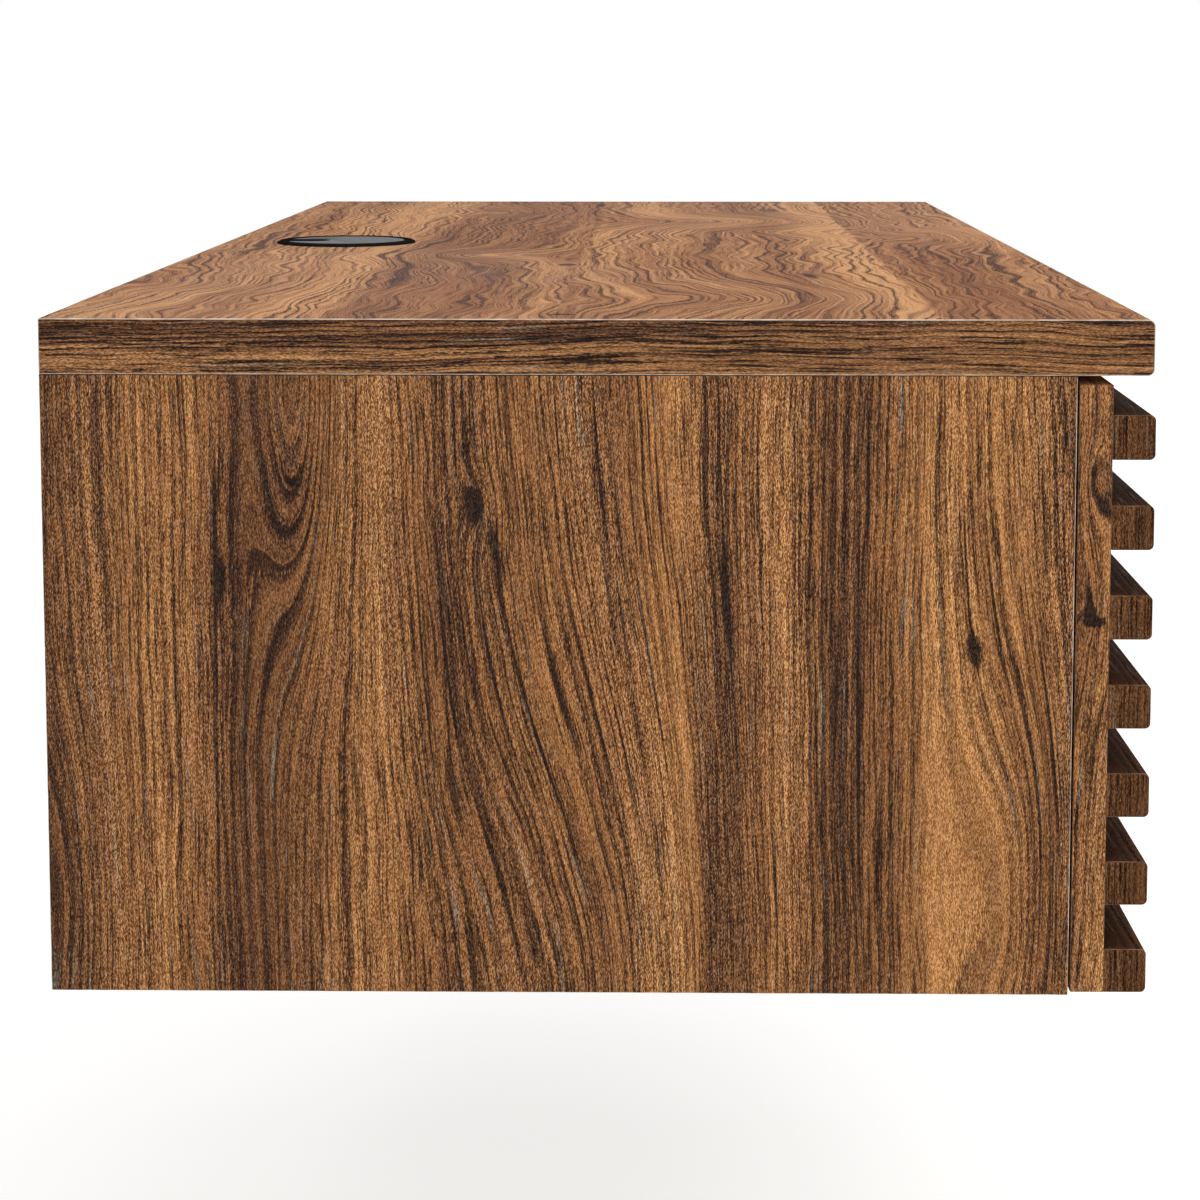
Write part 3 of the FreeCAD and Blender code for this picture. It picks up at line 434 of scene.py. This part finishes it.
def laminate_arris(name, pale_edge_and_highlight, plain_edge, shade_above=above_the_desk):
    """The eased corner of a laminated board, mottled between a plain edge colour and a paler one
    that is partly its trimmed core and partly painted highlight, and near-black painted shade
    above a given height.
    """
    material, recipe = new_material(name)
    spot = spot_on_piece(recipe)
    edge_noise = noise(recipe, spot, (90.0, 90.0, 90.0), 3.0)
    edge_colour = blended(recipe, ease(recipe, edge_noise, 0.35, 0.65), plain_edge, pale_edge_and_highlight)
    height = recipe.step("ShaderNodeSeparateXYZ", {0: spot}).outputs["Z"]
    coat(recipe, {
        "Base Color": blended(recipe, maths(recipe, "GREATER_THAN", height, shade_above),
                              edge_colour, painted_joint_shade),
        "Roughness": ease(recipe, edge_noise, 0.3, 0.7, 0.38, 0.5),
        "Specular IOR Level": 0.1,
    })
    return material


board_arris = laminate_arris("board_arris", (0.50, 0.33, 0.21, 1), (0.28, 0.15, 0.08, 1))

# A CAD board comes as loose triangles: corners this close are one corner, and triangles this
# flat are one face. Edges past the second angle are eased, and those within the third look smooth.
weld_distance = 0.00001
flat_angle, arris_angle, smooth_angle = math.radians(1), math.radians(50), math.radians(30)


def dress(node, body, finishes, easing=0.0004, arris=board_arris):
    """A CAD board with its corners merged and its arrises eased, in a finish for each way."""
    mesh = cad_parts[node].data.copy()
    mesh.materials.clear()
    piece = bpy.data.objects.new(f"{node}_board", mesh)
    scene.collection.objects.link(piece)
    kinds = list(dict.fromkeys(finishes.values()))
    for kind in kinds + [arris]:
        mesh.materials.append(kind)
    only(piece)
    bpy.ops.object.mode_set(mode="EDIT")
    bpy.ops.mesh.select_all(action="SELECT")
    bpy.ops.mesh.remove_doubles(threshold=weld_distance)
    bpy.ops.mesh.dissolve_limited(angle_limit=flat_angle)
    bpy.ops.object.mode_set(mode="OBJECT")
    for face in mesh.polygons:
        way = max("xyz", key=lambda axis: abs(getattr(face.normal, axis)))
        face.material_index = kinds.index(finishes[way])
    rounding = piece.modifiers.new("easing", "BEVEL")
    rounding.width = easing
    rounding.segments = 2
    rounding.limit_method = "ANGLE"
    rounding.angle_limit = arris_angle
    rounding.use_clamp_overlap = False
    rounding.material = len(kinds)
    bpy.ops.object.modifier_apply(modifier="easing")
    bpy.ops.object.shade_smooth_by_angle(angle=smooth_angle)
    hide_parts(node)
    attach(piece, body)


# Where each leaf after the first starts, and how far off its print is taken.
leaves = ((-0.118, 3.1), (-0.229, 5.3), (-0.401, 7.9))
# Where the grain of the leaves swells: place along and across, reach, push.
top_swellings = (
    (-0.110, -0.160, 0.050, 0.050, -0.035),
    (0.230, -0.330, 0.070, 0.080, 0.060),
    (0.110, -0.350, 0.040, 0.050, -0.020),
    (-0.390, -0.320, 0.080, 0.070, 0.045),
    (0.350, -0.170, 0.090, 0.040, 0.025),
    (-0.300, -0.040, 0.120, 0.040, 0.020),
    (0.050, -0.460, 0.100, 0.040, 0.030),
)
# Dark ends of lines at the leaves' joint and two hearts in the third leaf: place along and
# across the bent grain, reach, strength.
top_smudges = (
    (0.445, -0.2275, 0.0280, 0.0030, 1.2),
    (-0.185, -0.2245, 0.0080, 0.0050, 1.4),
    (-0.480, -0.2290, 0.0040, 0.0060, 1.2),
    (-0.262, -0.3533, 0.0220, 0.0050, 0.8),
    (0.374, -0.3613, 0.0400, 0.0070, 0.7),
)
# How light the leaves are: place across and level.
top_tones = (
    (0.0, 0.62), (-0.060, 0.58), (-0.098, 0.76), (-0.118, 0.68), (-0.140, 0.47), (-0.225, 0.47),
    (-0.235, 0.64), (-0.300, 0.58), (-0.352, 0.54), (-0.385, 0.78), (-0.400, 0.80),
    (-0.404, 0.50), (-0.440, 0.56), (-0.495, 0.62),
)
top_stain = {"light": (0.562, 0.280, 0.118, 1), "middle": (0.285, 0.116, 0.048, 1),
             "dark": (0.125, 0.044, 0.023, 1), "line": (0.040, 0.015, 0.012, 1)}
top_face = walnut("worktop_face", "X", "Y", "Z", seed=1.7, strips=leaves,
                  swellings=top_swellings, smudges=top_smudges, tones=top_tones,
                  wander=0.009, ripple=0.0060, ring=0.0062, contrast=0.85, banding=1.1,
                  pores=0.6, stipple=0.6, line_strength=1.2, gloss=0.02, **top_stain)
top_end = walnut("worktop_end_band", "Y", "Z", "X", seed=4.1, wander=0.0060, ripple=0.0010,
                 ring=0.0030, line_strength=1.0, pores=0.95, stipple=0.7, contrast=1.15,
                 tone=-0.05, light=(0.585, 0.280, 0.100, 1), middle=(0.300, 0.128, 0.046, 1))
top_front = walnut("worktop_front_band", "X", "Z", "Y", seed=6.4, wander=0.0015,
                   ripple=0.0006, ring=0.0045)
# The worktop's pale arris is partly its trimmed core and partly a painted highlight.
top_arris = laminate_arris("worktop_arris", (0.74, 0.62, 0.51, 1), (0.46, 0.34, 0.25, 1))
dress("worktop", "desk", {"x": top_end, "y": top_front, "z": top_face},
      easing=0.0005, arris=top_arris)

# ---- Wall rail ------------------------------------------------------------------------------
# The batten that carries the whole desk: 90 mm of the same board, with four holes for the
# wall screws, fixed to the worktop and the sides by cams and dowels.

rail_face = walnut("rail_face", "X", "Z", "Y", seed=9.2, wander=0.006)
rail_edge = walnut("rail_edge_band", "X", "Y", "Z", seed=9.6, wander=0.002)
dress("wall_rail", "desk",
      {"x": rail_face, "y": rail_face, "z": rail_edge})

# ---- Pedestals ------------------------------------------------------------------------------
# Each pedestal is a carcass of 15 mm laminated board: an outer side, an inner side, a bottom
# and a thin printed hardboard back in grooves. The grain of the sides runs upright.

# Where the outer side's grain swells: place up and along the depth, reach, push.
side_swellings = (
    (0.045, -0.118, 0.120, 0.020, 0.045),
    (-0.014, -0.195, 0.014, 0.009, 0.006),
    (-0.260, -0.245, 0.170, 0.065, 0.055),
    (-0.200, -0.438, 0.120, 0.030, 0.030),
    (-0.190, -0.010, 0.100, 0.022, 0.018),
)
# Dark hearts, streaks and long lines in it: place up and across the bent grain, reach, strength.
side_smudges = (
    # The knot, the smoke above it and the tail below
    (-0.014, -0.1849, 0.0085, 0.0027, 1.7),
    (0.010, -0.1880, 0.0200, 0.0014, 0.8),
    (-0.027, -0.1937, 0.0100, 0.0034, 0.7),
    (-0.040, -0.1984, 0.0110, 0.0040, 0.5),
    # Fine lines that fan out under it
    (-0.075, -0.1650, 0.0600, 0.0007, 0.8),
    (-0.085, -0.1735, 0.0650, 0.0008, 0.9),
    (-0.070, -0.1810, 0.0500, 0.0007, 0.8),
    (-0.090, -0.1885, 0.0600, 0.0008, 0.9),
    # Lines that lean away below the knot
    (0.005, -0.2440, 0.0500, 0.0009, 1.0),
    (-0.110, -0.1970, 0.0900, 0.0010, 0.9),
    (-0.090, -0.2100, 0.0600, 0.0009, 0.8),
    (-0.100, -0.2230, 0.0800, 0.0009, 0.8),
    (0.020, -0.2270, 0.0300, 0.0008, 0.8),
    (-0.130, -0.2330, 0.0600, 0.0009, 0.8),
    (-0.090, -0.2560, 0.0700, 0.0010, 0.9),
    # Upright lines in the middle and towards the front
    (-0.057, -0.2997, 0.0250, 0.0022, 1.0),
    (-0.050, -0.3010, 0.1100, 0.0008, 0.8),
    (-0.030, -0.3185, 0.0800, 0.0008, 0.7),
    (-0.120, -0.3442, 0.0800, 0.0010, 0.8),
    (0.000, -0.3686, 0.0500, 0.0010, 0.9),
    (-0.110, -0.3644, 0.1000, 0.0012, 0.9),
    (-0.010, -0.3985, 0.0400, 0.0008, 0.7),
    # The heart under the light leaf near the front, and its sides
    (-0.079, -0.4102, 0.0100, 0.0040, 0.9),
    (-0.040, -0.4102, 0.0450, 0.0009, 0.8),
    (-0.060, -0.4191, 0.0600, 0.0010, 0.8),
    (-0.130, -0.4365, 0.0800, 0.0016, 0.8),
    (0.020, -0.4554, 0.0300, 0.0016, 0.7),
    # The dark border beside the flame, and the flame's own lines
    (-0.047, -0.0795, 0.0120, 0.0020, 1.1),
    (-0.030, -0.0770, 0.0600, 0.0012, 0.9),
    (-0.160, -0.0770, 0.0900, 0.0010, 0.7),
    (0.010, -0.1201, 0.0300, 0.0010, 0.8),
    (-0.020, -0.1034, 0.0300, 0.0010, 0.8),
    # Arcs near the wall
    (-0.090, -0.0070, 0.0500, 0.0010, 0.7),
    (-0.120, -0.0190, 0.0800, 0.0009, 0.6),
    # Calm leaves
    (-0.165, -0.4000, 0.0700, 0.0100, -1.0),
    (-0.100, -0.0180, 0.1300, 0.0150, -0.6),
    (-0.170, -0.1050, 0.0900, 0.0180, -0.5),
    (0.005, -0.1500, 0.0500, 0.0100, -0.7),
    (0.035, -0.0800, 0.0200, 0.0060, -0.8),
)
# How light its bands are: place along the depth and level.
side_tones = (
    (0.0, 0.28), (-0.030, 0.49), (-0.055, 0.54), (-0.074, 0.45), (-0.088, 0.27),
    (-0.112, 0.32), (-0.145, 0.57), (-0.180, 0.42), (-0.225, 0.50), (-0.254, 0.38),
    (-0.284, 0.68), (-0.302, 0.38), (-0.330, 0.52), (-0.360, 0.31), (-0.408, 0.66),
    (-0.425, 0.64), (-0.461, 0.36),
)
outer_face = walnut("outer_side_face", "Z", "Y", "X", seed=2.3, swellings=side_swellings,
                    smudges=side_smudges, tones=side_tones, wander=0.004, ripple=0.0010,
                    ring=0.0050, banding=0.4)
band_lines = {"wander": 0.002, "ripple": 0.0006, "ring": 0.004}
side_edge = walnut("side_edge_band", "Z", "X", "Y", seed=3.6, **band_lines)
side_foot = walnut("side_foot_band", "Y", "X", "Z", seed=3.9, **band_lines)
plain_side = walnut("inner_side_face", "Z", "Y", "X", seed=5.5, wander=0.010)
bottom_face = walnut("pedestal_bottom_face", "X", "Y", "Z", seed=7.7, wander=0.010)
bottom_edge = walnut("pedestal_bottom_band", "X", "Z", "Y", seed=7.9, **band_lines)

back_print = walnut("printed_hardboard", "Z", "X", "Y", wander=0.004, contrast=0.6,
                    line_strength=0.5)


def all_over(finish):
    """The same finish for each way that a piece's faces look."""
    return dict.fromkeys("xyz", finish)


# The topmost bit of a side's arris is painted near-black: painted shade in the groove under the
# worktop. Below it the arris is near white, its pale core and a painted highlight.
shade_depth = 0.0008
side_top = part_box("outer_side_left")[1].z
side_arris = laminate_arris("side_arris", (0.92, 0.84, 0.76, 1), (0.50, 0.40, 0.32, 1),
                            shade_above=side_top - shade_depth)
hands = ("left", "right")
for hand in hands:
    dress(f"outer_side_{hand}", "desk",
          {"x": outer_face, "y": side_edge, "z": side_foot}, easing=0.0003, arris=side_arris)
    dress(f"inner_side_{hand}", "desk",
          {"x": plain_side, "y": side_edge, "z": side_foot})
    dress(f"pedestal_bottom_{hand}", "desk",
          {"x": bottom_face, "y": bottom_edge, "z": bottom_face})
    dress(f"pedestal_back_{hand}", "desk", all_over(back_print), easing=0.0002)

# ---- Drawer fronts and slats ----------------------------------------------------------------
# Each drawer has a 15 mm laminated front board. Seven solid slats, the drawer's only handle,
# are screwed to it from behind and stained darker than the rest.

front_face = walnut("drawer_front_face", "X", "Z", "Y", seed=11.3, wander=0.008)
# Two swirls in the board's end: place up and along the depth, reach, push.
end_swirls = (
    (-0.0570, -0.4660, 0.0140, 0.0060, 0.0045),
    (-0.0030, -0.4700, 0.0180, 0.0050, -0.0060),
)
# Dark hearts in the swirls: place up and across the bent grain, reach, strength.
end_hearts = (
    (-0.0560, -0.4638, 0.0085, 0.0022, 1.3),
    (-0.0620, -0.4655, 0.0042, 0.0032, 1.3),
    (-0.0655, -0.4705, 0.0026, 0.0055, 1.2),
    (0.0000, -0.4740, 0.0110, 0.0024, 0.9),
    (-0.0150, -0.4765, 0.0080, 0.0020, 0.8),
)
front_end = walnut("drawer_front_end", "Z", "Y", "X", seed=12.9, swellings=end_swirls,
                   smudges=end_hearts, wander=0.012, tone=0.13)
stain = {"light": (0.190, 0.078, 0.027, 1), "middle": (0.112, 0.042, 0.015, 1),
         "dark": (0.045, 0.017, 0.008, 1), "line": (0.008, 0.004, 0.003, 1)}
slat_face = walnut("slat_face", "X", "Z", "Y", seed=14.1, gloss=0.02, wander=0.004,
                   stipple=0.6, **stain)
slat_end = walnut("slat_end", "Z", "Y", "X", seed=15.6, gloss=0.02, wander=0.003, ring=0.003,
                  stipple=0.6, pores=0.85, tone=0.07, **stain)
# The slats' tops are the same stain set darker: painted shade.
slat_top_painted_shade = walnut("slat_top_painted_shade", "X", "Y", "Z", seed=16.4, gloss=0.01, wander=0.006, contrast=0.7,
                  stipple=0.4, pores=0.5, tone=-0.22, **stain)
front_arris = laminate_arris("front_arris", (0.26, 0.125, 0.055, 1), (0.13, 0.055, 0.025, 1))
slat_arris = laminate_arris("slat_arris", (0.24, 0.13, 0.07, 1), (0.10, 0.045, 0.022, 1))
slat_count = 7

for hand in hands:
    dress(f"drawer_front_{hand}", f"drawer_{hand}",
          {"x": front_end, "y": front_face, "z": front_end}, easing=0.0002, arris=front_arris)
    for row in range(1, slat_count + 1):
        dress(f"slat_{row}_{hand}", f"drawer_{hand}",
              {"x": slat_end, "y": slat_face, "z": slat_top_painted_shade}, easing=0.0003,
              arris=slat_arris)

# ---- Drawer boxes ---------------------------------------------------------------------------
# Two sides, a back and a thin bottom in grooves, wrapped in a paler, plainer printed foil and
# screwed together.

foil = {"light": (0.47, 0.29, 0.155, 1), "middle": (0.34, 0.195, 0.098, 1),
        "dark": (0.22, 0.117, 0.056, 1), "line": (0.12, 0.062, 0.032, 1)}
foil |= {"wander": 0.003, "contrast": 0.7, "line_strength": 0.5}
box_side = walnut("drawer_box_side", "Y", "Z", "X", seed=17.2, **foil)
side_rim = walnut("drawer_side_rim", "Y", "X", "Z", seed=17.7, **foil)
box_back = walnut("drawer_box_back", "X", "Z", "Y", seed=18.5, **foil)
back_rim = walnut("drawer_back_rim", "X", "Y", "Z", seed=18.8, **foil)
box_bottom = walnut("drawer_box_bottom", "Y", "X", "Z", seed=19.8, **foil)

for hand in hands:
    for board in ("box_side_outer", "box_side_inner"):
        dress(f"{board}_{hand}", f"drawer_{hand}",
              {"x": box_side, "y": box_side, "z": side_rim})
    dress(f"box_back_{hand}", f"drawer_{hand}",
          {"x": box_back, "y": box_back, "z": back_rim})
    dress(f"drawer_bottom_{hand}", f"drawer_{hand}",
          all_over(box_bottom), easing=0.0002)

# ---- Runners --------------------------------------------------------------------------------
# Ball-bearing runners of zinc-plated steel: a member on the carcass, a member on the drawer,
# and between them a thin cage of balls that rolls at half the drawer's speed.

mottle, recipe, given = group("mottled_finish", {
    "Spot": (VECTOR, (0, 0, 0)),
    "Size": (NUMBER, 0.01),
    "Pale": (COLOUR, (0.6, 0.6, 0.6, 1)),
    "Deep": (COLOUR, (0.5, 0.5, 0.5, 1)),
    "Smoothest": (NUMBER, 0.3),
    "Roughest": (NUMBER, 0.45),
}, {"Color": COLOUR, "Roughness": NUMBER, "Height": NUMBER})
cloud = noise(recipe, given["Spot"], 1.0 / given["Size"], 4.0, 0.6)
fine = noise(recipe, given["Spot"], (2500.0, 2500.0, 2500.0))
recipe.step("NodeGroupOutput", {
    "Color": blended(recipe, ease(recipe, cloud, 0.35, 0.65), given["Deep"], given["Pale"]),
    "Roughness": given["Smoothest"] + (given["Roughest"] - given["Smoothest"]) * cloud,
    "Height": fine + cloud * 0.5,
})


def moulded(name, metal, size, pale, deep, smoothest, roughest, relief=0.00004, gloss=0.5):
    """A metal, rubber or plastic finish with uneven colour, gloss and surface."""
    material, recipe = new_material(name)
    mottling = recipe.step("ShaderNodeGroup", {
        "Spot": spot_on_piece(recipe), "Size": size, "Pale": pale, "Deep": deep,
        "Smoothest": smoothest, "Roughest": roughest,
    }, node_tree=mottle)
    bump = recipe.level("ShaderNodeBump", {
        "Height": mottling.outputs["Height"], "Strength": 0.4, "Distance": relief})
    coat(recipe, {
        "Base Color": mottling.outputs["Color"], "Roughness": mottling.outputs["Roughness"],
        "Metallic": metal, "Normal": bump, "Specular IOR Level": gloss,
    })
    return material


def give_finish(node, finish):
    """A CAD node as it is, in its own finish."""
    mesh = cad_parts[node].data
    mesh.materials.clear()
    mesh.materials.append(finish)


plated_steel = moulded("plated_steel", 1.0, 0.006, (0.56, 0.57, 0.58, 1),
                       (0.42, 0.43, 0.45, 1), 0.24, 0.42)
cage_steel = moulded("cage_steel", 1.0, 0.004, (0.50, 0.50, 0.50, 1), (0.38, 0.38, 0.39, 1),
                     0.32, 0.5)
ball_steel = moulded("ball_steel", 1.0, 0.003, (0.80, 0.80, 0.81, 1), (0.72, 0.72, 0.73, 1),
                     0.08, 0.16)
for hand in hands:
    for side in ("outer", "inner"):
        give_finish(f"cabinet_member_{side}_{hand}", plated_steel)
        give_finish(f"drawer_member_{side}_{hand}", plated_steel)
        give_finish(f"ball_cage_{side}_{hand}", cage_steel)
    give_finish(f"runner_balls_{hand}", ball_steel)

# ---- Fittings -------------------------------------------------------------------------------
# Die-cast cams on steel cam bolts and beech dowels join the boards; countersunk screws hold
# the slats and the boxes, pan-head screws the runners; rubber dots cushion the fronts.

cast_zinc = moulded("cast_zinc", 1.0, 0.003, (0.62, 0.62, 0.60, 1), (0.48, 0.48, 0.47, 1),
                    0.35, 0.55)
screw_steel = moulded("screw_steel", 1.0, 0.002, (0.60, 0.58, 0.52, 1),
                      (0.46, 0.44, 0.40, 1), 0.25, 0.42)
rubber = moulded("bumper_rubber", 0.0, 0.002, (0.040, 0.038, 0.037, 1),
                 (0.026, 0.025, 0.024, 1), 0.5, 0.7, gloss=0.3)
beech = walnut("beech_dowel", "Z", "X", "Y", seed=21.0, wander=0.0005, contrast=0.6,
               line_strength=0.3, light=(0.66, 0.50, 0.32, 1), middle=(0.58, 0.42, 0.26, 1),
               dark=(0.46, 0.32, 0.19, 1), line=(0.30, 0.20, 0.12, 1))
give_finish("cam_locks", cast_zinc)
give_finish("cam_bolts", screw_steel)
give_finish("dowels", beech)
give_finish("runner_screws", screw_steel)
dress("bumpers", "desk", all_over(rubber), arris=rubber)
for hand in hands:
    give_finish(f"drawer_screws_{hand}", screw_steel)
    give_finish(f"drawer_runner_screws_{hand}", screw_steel)

# ---- Cable grommet --------------------------------------------------------------------------
# A two-part grommet of satin black plastic near the wall: a flanged liner in an 80 mm hole
# and a loose cap with a slot for cables.

liner_black = moulded("liner_black", 0.0, 0.004, (0.012, 0.012, 0.013, 1),
                      (0.008, 0.008, 0.009, 1), 0.45, 0.58, gloss=0.0)
cap_black = moulded("cap_black", 0.0, 0.004, (0.016, 0.016, 0.017, 1),
                    (0.010, 0.010, 0.011, 1), 0.32, 0.44, relief=0.00006, gloss=0.065)
dress("grommet_liner", "desk", all_over(liner_black), easing=0.0008,
      arris=liner_black)
dress("grommet_cap", "grommet_cap", all_over(cap_black), arris=cap_black)
